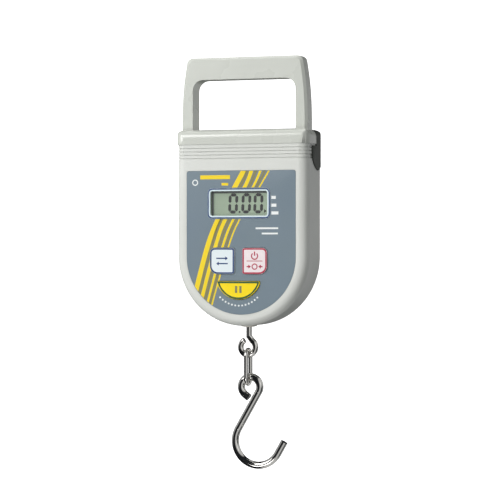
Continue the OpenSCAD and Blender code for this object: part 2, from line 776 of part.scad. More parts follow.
// Key cap with its flange behind the face and its foot on the plunger
module key_cap(p, shade) color(shade) {
    upright(face_y - key_proud, flange_y + eps) children(0);
    upright(flange_y, flange_y + flange_t) children(1);
    rod_y(5, flange_y + flange_t - eps, key_foot_y, p[0], p[1]);
}
module unit_key() key_cap(switches[0], "#f2f3f2") {
    key_outline(unit_x, -1, 0);
    key_outline(unit_x, -1, flange);
}
module tare_key() key_cap(switches[1], "#f3e6e4") {
    key_outline(tare_x, 1, 0);
    key_outline(tare_x, 1, flange);
}
module hold_key() key_cap(switches[2], "#f1d21f") {
    hold_outline(0);
    hold_outline(flange);
}

// ---- load train ----------------------------------------------------------

module load_frame() color("#a9adb0") difference() {
    union() {
        block([-frame_x, -cell_s / 2, frame_top - plate_t], [frame_x, cell_s / 2, frame_top]);
        both_sides() block([frame_x - plate_t, -cell_s / 2, bolt_z - 5.5], [frame_x, cell_s / 2, frame_top]);
        block([cell_l / 2 - 14, -cell_s / 2, cell_top], [cell_l / 2, cell_s / 2, frame_top - plate_t + eps]);
    }
    rod_x(bolt_d + 0.1, -body_w, body_w, 0, bolt_z);
    for (x = cell_bolts_x) translate([x, 0, cell_top - 1]) cylinder(d = cell_hole, h = 20);
}

module load_cell() color("#c9ccce") difference() {
    block([-cell_l / 2, -cell_s / 2, cell_z - cell_s / 2], [cell_l / 2, cell_s / 2, cell_z + cell_s / 2]);
    for (s = [-1, 1]) rod_y(cell_eye_d, -cell_s, cell_s, s * cell_eye_x, cell_z);
    block([-cell_eye_x, -cell_s, cell_z - cell_slot / 2], [cell_eye_x, cell_s, cell_z + cell_slot / 2]);
    for (x = cell_bolts_x) {
        translate([x, 0, cell_z + cell_s / 2 - 8]) cylinder(d = bolt_d, h = 10);
        translate([-x, 0, cell_z - cell_s / 2 - 2]) cylinder(d = bolt_d, h = 10);
    }
}

module strain_gauges() color("#b0642c") for (x = [-1, 1]) for (z = [0, 1]) {
    low = z == 1 ? cell_top : cell_top - cell_s - 0.3;
    block([x * cell_eye_x - 3, -3, low], [x * cell_eye_x + 3, 3, low + 0.3]);
}

module cell_spacer() color("#c2c5c7") difference() {
    block([-cell_l / 2, -cell_s / 2, bracket_top], [-cell_l / 2 + 14, cell_s / 2, cell_top - cell_s]);
    for (x = cell_bolts_x) translate([-x, 0, bracket_top - 1]) cylinder(d = cell_hole, h = 20);
}

module cell_bolts() color("#55595c") for (x = cell_bolts_x) {
    translate([x, 0, cell_top - 7]) cylinder(d = bolt_d, h = 7 + spacer_t + plate_t + 0.5);
    translate([x, 0, frame_top]) difference() {
        cylinder(d = 5.7, h = 3);
        translate([0, 0, 1.2]) cylinder(d = 3, h = 3, $fn = 6);
    }
    translate([-x, 0, bracket_top - plate_t - 0.5]) cylinder(d = bolt_d, h = plate_t + drop_t + 7.5);
    translate([-x, 0, bracket_top - plate_t - 3]) difference() {
        cylinder(d = 5.7, h = 3);
        translate([0, 0, -1.2]) cylinder(d = 3, h = 3, $fn = 6);
    }
}

module cell_cable() color("#c7413a") wire_tube(cable_route, cable_d);

module hook_bracket() color("#a9adb0") difference() {
    union() {
        block([-cell_l / 2, -cell_s / 2, bracket_top - plate_t], [0, cell_s / 2, bracket_top]);
        intersection() {
            translate([0, 0, bracket_top - plate_t]) cylinder(d = cell_s, h = plate_t);
            block([-1, -cell_s, bracket_top - plate_t], [cell_s, cell_s, bracket_top]);
        }
    }
    for (x = cell_bolts_x) translate([-x, 0, bracket_top - 10]) cylinder(d = cell_hole, h = 20);
    translate([0, 0, bracket_top - 10]) cylinder(d = rod_d + 2 * rod_play, h = 20);
}

module eye_rod() color(c_steel) {
    neck = [0, neck_z];
    start = [-eye_shift + eye_r * cos(eye_start), eye_z + eye_r * sin(eye_start)];
    wire_run(rod_d, neck, [0, rod_top]);
    wire_joint(rod_d, neck);
    wire_run(rod_d, start, neck);
    wire_joint(rod_d, start);
    wire_arc(eye_r, rod_d, -eye_shift, eye_z, eye_start - eye_sweep, eye_sweep);
}

module rod_nut() color(c_steel) translate([0, 0, bracket_top + washer_t]) hex_nut(nut_w, nut_t, rod_d);

module rod_washer() color(c_steel) translate([0, 0, bracket_top]) difference() {
    cylinder(d = washer_d, h = washer_t);
    translate([0, 0, -1]) cylinder(d = rod_d, h = washer_t + 2);
}

module chain_link() color(c_steel) translate([-eye_shift, 0, 0]) rotate([0, 0, 90]) {
    top = link_top - link_r;
    low = link_low + link_r;
    wire_arc(link_r, link_d, 0, top, 0, 180);
    wire_arc(link_r, link_d, 0, low, 180, 180);
    for (s = [-1, 1]) {
        wire_run(link_d, [s * link_r, low], [s * link_r, top]);
        wire_joint(link_d, [s * link_r, low]);
        wire_joint(link_d, [s * link_r, top]);
    }
}

module load_hook() color(c_steel) {
    loop = [loop_x, loop_z];
    bowl = [bowl_x, bowl_z];
    shaft_top = loop + loop_r * shaft_normal;
    shaft_low = bowl - bowl_r * shaft_normal;
    loop_tail = loop + loop_r * [cos(loop_end), sin(loop_end)];
    bowl_tail = bowl + bowl_r * [cos(tip_angle), sin(tip_angle)];
    wire_arc(loop_r, hook_d, loop_x, loop_z, -shaft_angle, loop_end + shaft_angle);
    wire_run(hook_d, loop_tail, loop_tail + tail_l * [-sin(loop_end), cos(loop_end)]);
    wire_run(hook_d, shaft_low, shaft_top);
    wire_arc(bowl_r, hook_d, bowl_x, bowl_z, 180 - shaft_angle, 180 + tip_angle + shaft_angle);
    wire_run(hook_d, bowl_tail, bowl_tail + tip_l * [-sin(tip_angle), cos(tip_angle)]);
    for (p = [loop_tail, shaft_top, shaft_low, bowl_tail]) wire_joint(hook_d, p);
}

// ---- battery -------------------------------------------------------------

module battery() color("#3a3d42") {
    low = batt_top - batt_h;
    x0 = box_cx - batt_w / 2;
    block([x0, batt_front, low], [x0 + batt_w, batt_back, batt_top - stud_h]);
    for (s = [-1, 1]) translate([box_cx + s * 6.4, lead_y, batt_top - stud_h])
        cylinder(d = s < 0 ? 5.4 : 7, h = stud_h);
}

module battery_snap() color("#1f2022") difference() {
    block([box_cx - 12.5, lead_y - 6.2, batt_top - stud_h], [box_cx + 12.5, lead_y + 6.2, snap_z]);
    for (s = [-1, 1]) translate([box_cx + s * 6.4, lead_y, batt_top - stud_h - 1])
        cylinder(d = 7.4, h = stud_h + 1.3);
    block([box_cx - 13, lead_y - 2, snap_z - 3.4], [box_x0 + 4.2, lead_y + 2, snap_z + 1]);
}

module battery_leads() color("#a8322c") for (side = [-0.8, 0.8]) wire_tube(lead_route(side), wire_d);

module battery_door() color(c_housing) difference() {
    y0 = door_y - door_t / 2;
    union() {
        block([box_cx - door_w / 2, y0, door_pin_z], [box_cx + door_w / 2, y0 + door_t, door_top]);
        rod_x(door_t, box_cx - door_w / 2, box_cx + door_w / 2, door_y, door_pin_z);
        rod_x(door_pin_d, box_cx - door_w / 2 - door_pin_l, box_cx + door_w / 2 + door_pin_l,
            door_y, door_pin_z);
        block([box_cx - 6, back_y - 1.3, door_top - 1], [box_cx + 6, y0 + door_t, door_top + 0.9]);
    }
    for (k = [0 : 4]) block([box_cx - 6, y0 + door_t - 0.5, door_top - 9 + 1.5 * k],
        [box_cx + 6, y0 + door_t + 1, door_top - 8.2 + 1.5 * k]);
}

module battery_foam() color("#2a2a2a") {
    z_mid = (batt_top - stud_h + batt_top - batt_h) / 2;
    block([box_cx - 9, batt_back, z_mid - 15], [box_cx + 9, batt_back + foam_t, z_mid + 15]);
}

// ---- nodes ---------------------------------------------------------------

handle();
handle_bolts();
handle_nuts();
front_housing();
rear_housing();
housing_screws();
side_cover_left();
side_cover_right();
rod_bush();
face_label();
display_bezel();
display_window();
lcd_glass();
lcd_holder();
zebra_strips();
main_board();
board_chips();
board_screws();
cable_plug();
switch_bodies();
unit_key();
unit_plunger();
tare_key();
tare_plunger();
hold_key();
hold_plunger();
load_frame();
load_cell();
strain_gauges();
cell_spacer();
cell_bolts();
cell_cable();
hook_bracket();
eye_rod();
rod_nut();
rod_washer();
chain_link();
load_hook();
battery();
battery_snap();
battery_leads();
battery_door();
battery_foam();
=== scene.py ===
"""Crane scale with a carrying handle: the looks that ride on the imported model.

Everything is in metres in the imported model's frame: the origin is the centre of the grip bar,
Z is up along the load line, and the front face looks along -Y.
"""
import json
import math

import bpy
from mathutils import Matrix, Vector

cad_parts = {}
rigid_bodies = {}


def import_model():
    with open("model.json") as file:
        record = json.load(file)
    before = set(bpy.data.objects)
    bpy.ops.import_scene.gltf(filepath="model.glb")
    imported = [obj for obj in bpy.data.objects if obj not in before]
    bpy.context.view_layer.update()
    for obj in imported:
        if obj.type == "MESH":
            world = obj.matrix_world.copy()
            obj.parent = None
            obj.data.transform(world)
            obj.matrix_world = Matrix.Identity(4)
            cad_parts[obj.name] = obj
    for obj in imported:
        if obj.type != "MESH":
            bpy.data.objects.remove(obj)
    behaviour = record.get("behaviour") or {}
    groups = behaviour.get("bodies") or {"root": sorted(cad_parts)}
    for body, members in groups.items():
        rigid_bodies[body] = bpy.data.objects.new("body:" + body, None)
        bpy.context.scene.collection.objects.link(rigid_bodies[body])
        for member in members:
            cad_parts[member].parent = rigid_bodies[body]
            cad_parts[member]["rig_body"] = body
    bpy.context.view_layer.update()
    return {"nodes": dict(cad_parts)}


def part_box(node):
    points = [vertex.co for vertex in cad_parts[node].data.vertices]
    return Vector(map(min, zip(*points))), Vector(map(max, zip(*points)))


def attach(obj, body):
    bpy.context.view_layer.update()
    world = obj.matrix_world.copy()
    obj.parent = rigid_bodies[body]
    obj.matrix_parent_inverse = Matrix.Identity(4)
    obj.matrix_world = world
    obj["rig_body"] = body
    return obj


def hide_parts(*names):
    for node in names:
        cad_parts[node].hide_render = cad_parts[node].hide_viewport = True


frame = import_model()
nodes = frame["nodes"]
MM = 0.001


# ---- camera ----------------------------------------------------------------

CAMERA_TURN = 20
CAMERA_DISTANCE = 1.4
CAMERA_LENS = 154.4
VIEW_MIDDLE = Vector((0.00055, 0, -0.1182))


def set_camera():
    """Twenty degrees to the right of the front, level with the middle of the scale."""
    turn = math.radians(CAMERA_TURN)
    data = bpy.data.cameras.new("camera")
    data.sensor_width = 36
    data.lens = CAMERA_LENS
    data.clip_end = 20
    camera = bpy.data.objects.new("camera", data)
    bpy.context.scene.collection.objects.link(camera)
    camera.location = VIEW_MIDDLE + CAMERA_DISTANCE * Vector((math.sin(turn), -math.cos(turn), 0))
    camera.rotation_euler = (math.pi / 2, 0, turn)
    bpy.context.scene.camera = camera


set_camera()


# ---- materials ---------------------------------------------------------------

def hex_colour(text):
    """An sRGB hex value as the linear colour that a shader takes."""
    def linear(c):
        return c / 12.92 if c <= 0.04045 else ((c + 0.055) / 1.055) ** 2.4
    return tuple(linear(int(text[i:i + 2], 16) / 255) for i in (1, 3, 5)) + (1.0,)


def new_material(name, colour, roughness, **sockets):
    """A shader with its uniform values on its own sockets."""
    m = bpy.data.materials.new(name)
    m.use_nodes = True
    m.diffuse_color = hex_colour(colour)
    shader = m.node_tree.nodes["Principled BSDF"]
    shader.inputs["Base Color"].default_value = hex_colour(colour)
    shader.inputs["Roughness"].default_value = roughness
    for socket, value in sockets.items():
        shader.inputs[socket.replace("_", " ")].default_value = value
    return m, shader


def add(m, kind, links=(), **settings):
    """Adds a node. Settings named in_X fill the input X, the others are the node's own."""
    n = m.node_tree.nodes.new(kind)
    for key, value in settings.items():
        if key.startswith("in_"):
            n.inputs[key[3:].replace("_", " ")].default_value = value
        else:
            setattr(n, key, value)
    for source, target in links:
        m.node_tree.links.new(source, n.inputs[target])
    return n


WANDER_MM = 22
BUMP_STRENGTH = 0.35


def grain(m, shader, size_mm, height_mm, spread=None, detail=2.0):
    """Fine relief of that grain size. A spread of two values lets the roughness wander
    between them, in patches of WANDER_MM."""
    place = add(m, "ShaderNodeTexCoord")
    noise = add(m, "ShaderNodeTexNoise", [(place.outputs["Object"], "Vector")],
                in_Scale=1000 / size_mm, in_Detail=detail)
    bump = add(m, "ShaderNodeBump", [(noise.outputs["Fac"], "Height")],
               in_Strength=BUMP_STRENGTH, in_Distance=height_mm * MM)
    m.node_tree.links.new(bump.outputs["Normal"], shader.inputs["Normal"])
    if spread:
        slow = add(m, "ShaderNodeTexNoise", [(place.outputs["Object"], "Vector")],
                   in_Scale=1000 / WANDER_MM, in_Detail=3.0)
        rough = add(m, "ShaderNodeMapRange", [(slow.outputs["Fac"], "Value")],
                    in_From_Min=0.3, in_From_Max=0.7, in_To_Min=spread[0], in_To_Max=spread[1])
        m.node_tree.links.new(rough.outputs["Result"], shader.inputs["Roughness"])
    return place


def tint(m, shader, place, first, second, size_mm):
    """Two close colours of the same stock, mixed in broad patches of that size."""
    noise = add(m, "ShaderNodeTexNoise", [(place.outputs["Object"], "Vector")],
                in_Scale=1000 / size_mm, in_Detail=2.0)
    ramp = add(m, "ShaderNodeValToRGB", [(noise.outputs["Fac"], "Fac")])
    ramp.color_ramp.elements[0].position = 0.15
    ramp.color_ramp.elements[0].color = hex_colour(first)
    ramp.color_ramp.elements[1].position = 0.85
    ramp.color_ramp.elements[1].color = hex_colour(second)
    m.node_tree.links.new(ramp.outputs["Color"], shader.inputs["Base Color"])


def moulded(name, first, second, rough, grain_mm=0.5, height=0.02, patch=30, **sockets):
    """Moulded plastic: a fine spark texture over two close tones."""
    m, shader = new_material(name, first, sum(rough) / 2, **sockets)
    place = grain(m, shader, grain_mm, height, rough)
    tint(m, shader, place, first, second, patch)
    return m


def printed(name, colour, roughness=0.42):
    """Screen-printed ink on film, and the painted shadow on the display glass: even colour with
    the film's faint orange peel.
    """
    m, shader = new_material(name, colour, roughness, IOR=1.5)
    grain(m, shader, 1.2, 0.01)
    return m


# ABS housing, spark-eroded tool: a soft sheen that spreads the light, no sharp mirror
housing_abs = moulded("housing_abs", "#dcded9", "#d6d8d2", (0.30, 0.42), 0.6, 0.015,
                      IOR=1.53, Coat_Weight=0.12, Coat_Roughness=0.2)
# Polished ABS cap and grip: the same grey with a clear highlight along its edges
grip_abs = moulded("grip_abs", "#cfd2ca", "#cacdc5", (0.22, 0.32), 0.9, 0.01,
                   IOR=1.53, Coat_Weight=0.35, Coat_Roughness=0.12)
# Soft dark elastomer covers at the sides: nearly no shine
cover_rubber = moulded("cover_rubber", "#343931", "#2e332c", (0.55, 0.7), 0.4, 0.03)
# Polycarbonate face film, printed grey from behind: flat colour under a satin skin
label_film = moulded("label_film", "#76868f", "#728390", (0.36, 0.44), 1.4, 0.006,
                     Coat_Weight=0.15, Coat_Roughness=0.3)
# Screen-printed inks: even, opaque colour with the satin of the film they lie on
ink_yellow = printed("ink_yellow", "#f6d710")
ink_olive = printed("ink_olive", "#85825a")
ink_white = printed("ink_white", "#f0f3f2")
ink_blue = printed("ink_blue", "#1c3f78")
ink_crimson = printed("ink_crimson", "#b52446")
ink_green = printed("ink_green", "#2c5a33")
# Silicone-coated key caps: pale, softly glossy, a little light scattered inside
key_ice = moulded("key_ice", "#e9f3f5", "#e3eef2", (0.28, 0.36), 0.8, 0.01, Coat_Weight=0.2)
key_rose = moulded("key_rose", "#f4e9ea", "#efe2e4", (0.28, 0.36), 0.8, 0.01, Coat_Weight=0.2)
key_yellow = moulded("key_yellow", "#ffe205", "#fadb00", (0.28, 0.36), 0.8, 0.01, Coat_Weight=0.2)
# Bezel ring, hard-coated film: crisp and bright
bezel_film = moulded("bezel_film", "#dfeef0", "#d6e8ec", (0.2, 0.28), 1.0, 0.005)
# Twisted nematic glass: grey-green, matt polariser on top
lcd_polariser = moulded("lcd_polariser", "#9cae96", "#96a890", (0.34, 0.42), 0.6, 0.004, 12)
# Liquid crystal that is switched on, and the painted shadow that the bezel casts along the top and
# left of the glass: flat and matt
lcd_segment = printed("lcd_segment", "#0b0c0e", 0.6)
lcd_shadow = printed("lcd_shadow", "#454b48", 0.5)


def plated(name, colour, rough, scratch_mm):
    """Nickel-plated wire: a bright mirror broken up by fine drawing marks along it."""
    m, shader = new_material(name, colour, rough[0], Metallic=1.0)
    place = add(m, "ShaderNodeTexCoord")
    stretch = add(m, "ShaderNodeMapping", [(place.outputs["Object"], "Vector")],
                  in_Scale=(1.0, 1.0, 0.25))
    marks = add(m, "ShaderNodeTexNoise", [(stretch.outputs["Vector"], "Vector")],
                in_Scale=1000 / scratch_mm, in_Detail=4.0)
    bump = add(m, "ShaderNodeBump", [(marks.outputs["Fac"], "Height")],
               in_Strength=0.12, in_Distance=0.005 * MM)
    rub = add(m, "ShaderNodeTexNoise", [(place.outputs["Object"], "Vector")],
              in_Scale=1000 / 6, in_Detail=3.0)
    level = add(m, "ShaderNodeMapRange", [(rub.outputs["Fac"], "Value")],
                in_From_Min=0.3, in_From_Max=0.7, in_To_Min=rough[0], in_To_Max=rough[1])
    m.node_tree.links.new(bump.outputs["Normal"], shader.inputs["Normal"])
    m.node_tree.links.new(level.outputs["Result"], shader.inputs["Roughness"])
    return m


# Nickel plate on drawn steel wire: hard bright and dark streaks along each bend
hook_nickel = plated("hook_nickel", "#d2d0cc", (0.05, 0.13), 1.5)
# Zinc-plated screws and nuts: duller and bluer than the hook
screw_zinc = plated("screw_zinc", "#b4b8ba", (0.25, 0.4), 0.8)
# Milled aluminium of the load cell and its brackets: pale, with a satin cut
cell_aluminium = plated("cell_aluminium", "#c3c6c8", (0.3, 0.45), 0.6)
# Glass-epoxy board under green solder mask: faint weave, semi-gloss
board_epoxy = moulded("board_epoxy", "#2d6a45", "#27603d", (0.3, 0.4), 0.5, 0.01, 10)
# Moulded epoxy of the chips and switches: black and dry
chip_epoxy = moulded("chip_epoxy", "#26282a", "#2c2e30", (0.5, 0.65), 0.3, 0.01, 8)
# Natural nylon of plugs, holders and the bush: milky
nylon_natural = moulded("nylon_natural", "#e6e3d8", "#dedbd0", (0.35, 0.5), 0.6, 0.01)
# PVC sleeves of the wires: even colour, waxy
wire_pvc = moulded("wire_pvc", "#b23a34", "#a8342f", (0.38, 0.48), 0.8, 0.01, 10)
# Painted steel can of the battery: dark, lacquered
battery_lacquer = moulded("battery_lacquer", "#33383d", "#2b3035", (0.25, 0.35), 0.5, 0.005)
# Closed-cell foam pad: dark and matt, with open pores
pad_foam = moulded("pad_foam", "#4a4d4e", "#3e4142", (0.85, 0.95), 0.7, 0.12, 6)
# Carbon-loaded silicone strips
zebra_rubber = moulded("zebra_rubber", "#2c2c2c", "#343434", (0.55, 0.65), 0.3, 0.02, 4)
# Clear acrylic window: hardly seen but for its highlight
window_acrylic, _acrylic = new_material("window_acrylic", "#f4f8f7", 0.05, IOR=1.49, Alpha=0.03)
grain(window_acrylic, _acrylic, 3.0, 0.002)

FINISH = {
    "handle": grip_abs, "front_housing": housing_abs, "rear_housing": housing_abs,
    "side_cover_left": cover_rubber, "side_cover_right": cover_rubber,
    "rod_bush": nylon_natural, "face_label": label_film, "display_bezel": bezel_film,
    "display_window": window_acrylic, "lcd_glass": lcd_polariser, "lcd_holder": nylon_natural,
    "zebra_strips": zebra_rubber, "main_board": board_epoxy, "board_chips": chip_epoxy,
    "board_screws": screw_zinc, "cable_plug": nylon_natural, "switch_bodies": chip_epoxy,
    "unit_key": key_ice, "tare_key": key_rose, "hold_key": key_yellow,
    "unit_plunger": chip_epoxy, "tare_plunger": chip_epoxy, "hold_plunger": chip_epoxy,
    "load_frame": cell_aluminium, "load_cell": cell_aluminium, "strain_gauges": wire_pvc,
    "cell_spacer": cell_aluminium, "cell_bolts": screw_zinc, "cell_cable": wire_pvc,
    "hook_bracket": cell_aluminium, "eye_rod": hook_nickel, "rod_nut": screw_zinc,
    "rod_washer": screw_zinc, "chain_link": hook_nickel, "load_hook": hook_nickel,
    "battery": battery_lacquer, "battery_snap": chip_epoxy, "battery_leads": wire_pvc,
    "battery_door": housing_abs, "battery_foam": pad_foam, "handle_bolts": screw_zinc,
    "handle_nuts": screw_zinc, "housing_screws": screw_zinc,
}


def finish(piece, material):
    """Gives a piece its material."""
    piece.data.materials.clear()
    piece.data.materials.append(material)
    return piece


for _name, _node in nodes.items():
    _node.data.materials.clear()
    _node.data.materials.append(FINISH[_name])


# ---- modelling helpers ---------------------------------------------------------

def deselect():
    if bpy.context.object and bpy.context.object.mode != "OBJECT":
        bpy.ops.object.mode_set(mode="OBJECT")
    bpy.ops.object.select_all(action="DESELECT")


def settle(piece, name, body):
    """Puts a finished piece's place in its mesh, names it and hands it to its body."""
    deselect()
    piece.select_set(True)
    bpy.context.view_layer.objects.active = piece
    bpy.ops.object.transform_apply(location=True, rotation=True, scale=True)
    piece.name = name
    piece.data.name = name
    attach(piece, body)
    return piece


def modify(piece, kind, **settings):
    """Adds a modifier and applies it."""
    deselect()
    piece.select_set(True)
    bpy.context.view_layer.objects.active = piece
    modifier = piece.modifiers.new(kind.lower(), kind)
    for key, value in settings.items():
        setattr(modifier, key, value)
    bpy.ops.object.modifier_apply(modifier=modifier.name)
    return piece


WELD = 0.000004
FLAT_ANGLE = 0.05


def refine(node, edge_mm, angle=32, set_back=0.0, flatten=True, smooth=40):
    """A smooth copy of a CAD node: welded, its flats cleaned, its hard edges eased.
    set_back moves the front face in by that many mm, to leave room for its print.
    flatten joins the triangles of each flat face, and smooth is the widest angle shaded over."""
    source = nodes[node]
    copy = source.copy()
    copy.data = source.data.copy()
    for key in list(copy.keys()):
        if key.startswith("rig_"):
            del copy[key]
    copy.parent = None
    bpy.context.scene.collection.objects.link(copy)
    deselect()
    copy.select_set(True)
    bpy.context.view_layer.objects.active = copy
    bpy.ops.object.mode_set(mode="EDIT")
    bpy.ops.mesh.select_all(action="SELECT")
    bpy.ops.mesh.remove_doubles(threshold=WELD)
    if flatten:
        bpy.ops.mesh.dissolve_limited(angle_limit=math.radians(FLAT_ANGLE))
    if set_back:
        bpy.ops.mesh.select_mode(type="VERT")
        bpy.ops.mesh.select_all(action="DESELECT")
        bpy.ops.object.mode_set(mode="OBJECT")
        front = min(v.co.y for v in copy.data.vertices)
        for v in copy.data.vertices:
            v.select = v.co.y < front + 0.00001
        bpy.ops.object.mode_set(mode="EDIT")
        bpy.ops.transform.translate(value=(0, set_back * MM, 0))
    bpy.ops.object.mode_set(mode="OBJECT")
    if edge_mm:
        modify(copy, "BEVEL", width=edge_mm * MM, segments=2, limit_method="ANGLE",
               angle_limit=math.radians(angle), use_clamp_overlap=True, miter_outer="MITER_ARC")
    deselect()
    copy.select_set(True)
    bpy.context.view_layer.objects.active = copy
    bpy.ops.object.shade_smooth_by_angle(angle=math.radians(smooth))
    modify(copy, "WEIGHTED_NORMAL", keep_sharp=True, weight=80)
    body = source["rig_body"]
    settle(copy, node + "_shell", body)
    finish(copy, FINISH[node])
    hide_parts(node)
    return copy


def panel(name, outline, y_front, thick, material, body, ease_mm=0.0):
    """A thin flat piece facing the front: a filled ring set to its outline in X and Z, in mm,
    and drawn out to its thickness."""
    deselect()
    bpy.ops.mesh.primitive_circle_add(vertices=len(outline), radius=MM, fill_type="NGON")
    piece = bpy.context.object
    for corner, (x, z) in zip(piece.data.vertices, outline):
        corner.co = (x * MM, (y_front + thick) * MM, z * MM)
    bpy.ops.object.mode_set(mode="EDIT")
    bpy.ops.mesh.select_all(action="SELECT")
    bpy.ops.mesh.extrude_region_move(TRANSFORM_OT_translate={"value": (0, -thick * MM, 0)})
    bpy.ops.mesh.select_all(action="SELECT")
    bpy.ops.mesh.normals_make_consistent(inside=False)
    bpy.ops.object.mode_set(mode="OBJECT")
    if ease_mm:
        modify(piece, "BEVEL", width=ease_mm * MM, segments=2, limit_method="ANGLE",
               angle_limit=math.radians(50), use_clamp_overlap=True)
        bpy.ops.object.shade_smooth_by_angle(angle=math.radians(35))
    settle(piece, name, body)
    return finish(piece, material)


# ---- shells, handle and covers ---------------------------------------------------

# How far the keys' faces are set back, in mm, so that their print ends inside the CAD's box
KEY_SET_BACK = 0.06
KEYS = ("unit_key", "tare_key", "hold_key")

for _name in ("side_cover_left", "side_cover_right", "face_label", "battery_door",
              "chain_link"):
    refine(_name, 0.0, flatten=False)
for _name in ("handle", "front_housing", "rear_housing"):
    refine(_name, 0.0, smooth=22)
for _name, _edge in (("load_hook", 0.8), ("eye_rod", 0.6)):
    refine(_name, _edge, angle=55)
refine("display_bezel", 0.12)
for _name in KEYS:
    refine(_name, 0.12, set_back=KEY_SET_BACK)


# ---- printed face ------------------------------------------------------------------

LABEL_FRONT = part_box("face_label")[0].y / MM
# Height of the printed layers, and how far each sinks into what it lies on
INK = 0.04
SINK = 0.01
# The label, in mm: its half width, its top, and the centre of its half-round foot
LABEL_HALF = 37.5
LABEL_TOP = -66.8
BODY_CENTRE = -122.5
# Gap that the stripes leave round the display and the keys
STRIPE_GAP = 0.35


def bar(a, b, width):
    """Outline of a straight bar from a to b."""
    run = Vector((b[0] - a[0], b[1] - a[1]))
    side = Vector((-run.y, run.x)).normalized() * width / 2
    return [(a[0] + side.x, a[1] + side.y), (a[0] - side.x, a[1] - side.y),
            (b[0] - side.x, b[1] - side.y), (b[0] + side.x, b[1] + side.y)]


def disc(x, z, radius, count=20):
    return [(x + radius * math.cos(2 * math.pi * k / count),
             z + radius * math.sin(2 * math.pi * k / count)) for k in range(count)]


def ribbon(line, width):
    """Outline of a band along a bent line, its ends cut level."""
    left, right = [], []
    for i, (x, z) in enumerate(line):
        x0, z0 = line[max(i - 1, 0)]
        x1, z1 = line[min(i + 1, len(line) - 1)]
        half = width / 2 * math.hypot(x1 - x0, z1 - z0) / abs(z1 - z0)
        left.append((x - half, z))
        right.append((x + half, z))
    return left + right[::-1]


def eased(line, steps=6):
    """The same line with its corners rounded into a curve."""
    out = []
    for i in range(len(line) - 1):
        a, b = line[max(i - 1, 0)], line[i]
        c, d = line[i + 1], line[min(i + 2, len(line) - 1)]
        for k in range(steps):
            t = k / steps
            out.append(tuple(0.5 * (2 * b[j] + (c[j] - a[j]) * t
                                    + (2 * a[j] - 5 * b[j] + 4 * c[j] - d[j]) * t * t
                                    + (3 * b[j] - a[j] - 3 * c[j] + d[j]) * t ** 3)
                             for j in (0, 1)))
    return out + [line[-1]]


def label_edge(inset):
    """The label's outline drawn in by that much: straight sides and a half-round foot."""
    radius = LABEL_HALF - inset
    foot = [(radius * math.cos(math.radians(a)), BODY_CENTRE + radius * math.sin(math.radians(a)))
            for a in range(0, -181, -5)]
    return [(-radius, LABEL_TOP - inset), (radius, LABEL_TOP - inset)] + foot


def cut_to(piece, outline, keep):
    """Cuts a printed piece with a prism: keeps what is inside the outline, or outside it."""
    tool = panel("cutter", outline, LABEL_FRONT - 3, 6, ink_white, "housing")
    modify(piece, "BOOLEAN", object=tool, solver="EXACT",
           operation="INTERSECT" if keep else "DIFFERENCE")
    bpy.data.objects.remove(tool)


def front_face(node):
    """Left, right, lowest and highest place of a node's front face, in mm, and its Y."""
    points = [v.co / MM for v in nodes[node].data.vertices]
    front = min(p.y for p in points)
    face = [p for p in points if p.y < front + 0.02]
    return (min(p.x for p in face), max(p.x for p in face),
            min(p.z for p in face), max(p.z for p in face), front)


def print_level(node):
    """Where the front of the print on a node lies."""
    return front_face(node)[4] - INK + (KEY_SET_BACK if node in KEYS else 0)


def rounded(x0, x1, z0, z1, radii):
    """A rectangle with its own radius at each corner, from top right anticlockwise."""
    out = []
    corners = ((x1, z1, -1, -1, 0), (x0, z1, 1, -1, 90), (x0, z0, 1, 1, 180), (x1, z0, -1, 1, 270))
    for (x, z, sx, sz, start), r in zip(corners, radii):
        out += [(x + sx * r + r * math.cos(math.radians(start + a)),
                 z + sz * r + r * math.sin(math.radians(start + a))) for a in range(0, 91, 15)]
    return out


def node_outline(node, grow):
    """The outline of a node's front face, grown by that much: each key has its own corners."""
    x0, x1, z0, z1, _ = front_face(node)
    radii = {"unit_key": (1.4, 3.2, 5.2, 1.4), "tare_key": (3.2, 1.4, 1.4, 5.2)}
    corners = [max(0.5, r + grow) for r in radii.get(node, (3.2, 3.2, 3.2, 3.2))]
    return rounded(x0 - grow, x1 + grow, z0 - grow, z1 + grow, corners)


def moon(node, grow):
    """The hold key's outline: a straight top over a round foot."""
    x0, x1, z0, z1, _ = front_face(node)
    cx, half = (x0 + x1) / 2, (x1 - x0) / 2
    radius = (half * half + (z1 - z0) ** 2) / (2 * (z1 - z0))
    cz, top, radius = z0 + radius, z1 + grow, radius + grow
    reach = math.acos((cz - top) / radius)
    arc = [(cx + radius * math.sin(reach * (1 - k / 14)),
            cz - radius * math.cos(reach * (1 - k / 14))) for k in range(29)]
    return arc


# Each stripe: its name, its middle line in X and Z, its width and its ink
STRIPES = [
    ("stripe_a", [(2.6, -66), (-4.2, -77.7), (-15.8, -98.6), (-23.1, -116.2), (-31.4, -146)],
     3.3, "yellow"),
    ("stripe_b", [(7.8, -66), (2.6, -77.7), (-10.8, -98.6), (-17.6, -116.2), (-27.1, -150)],
     2.5, "yellow"),
    ("stripe_c", [(14, -66), (8.3, -77.7), (-5.2, -98.6), (-12.6, -116.2), (-23.4, -154)],
     1.6, "yellow"),
    ("stripe_d", [(20, -66), (12.8, -77.7), (-0.8, -98.6), (-8.5, -116.2), (-20.9, -157)],
     1.0, "yellow"),
    ("band_a", [(5.2, -66), (-0.8, -77.7), (-13.3, -98.6), (-20.3, -116.2), (-29.2, -148)],
     2.0, "olive"),
    ("band_b", [(10.9, -66), (5.4, -77.7), (-8.0, -98.6), (-15.1, -116.2), (-25.2, -152)],
     2.0, "olive"),
    ("band_c", [(17, -66), (10.6, -77.7), (-3.0, -98.6), (-10.5, -116.2), (-22.1, -156)],
     1.8, "olive"),
]


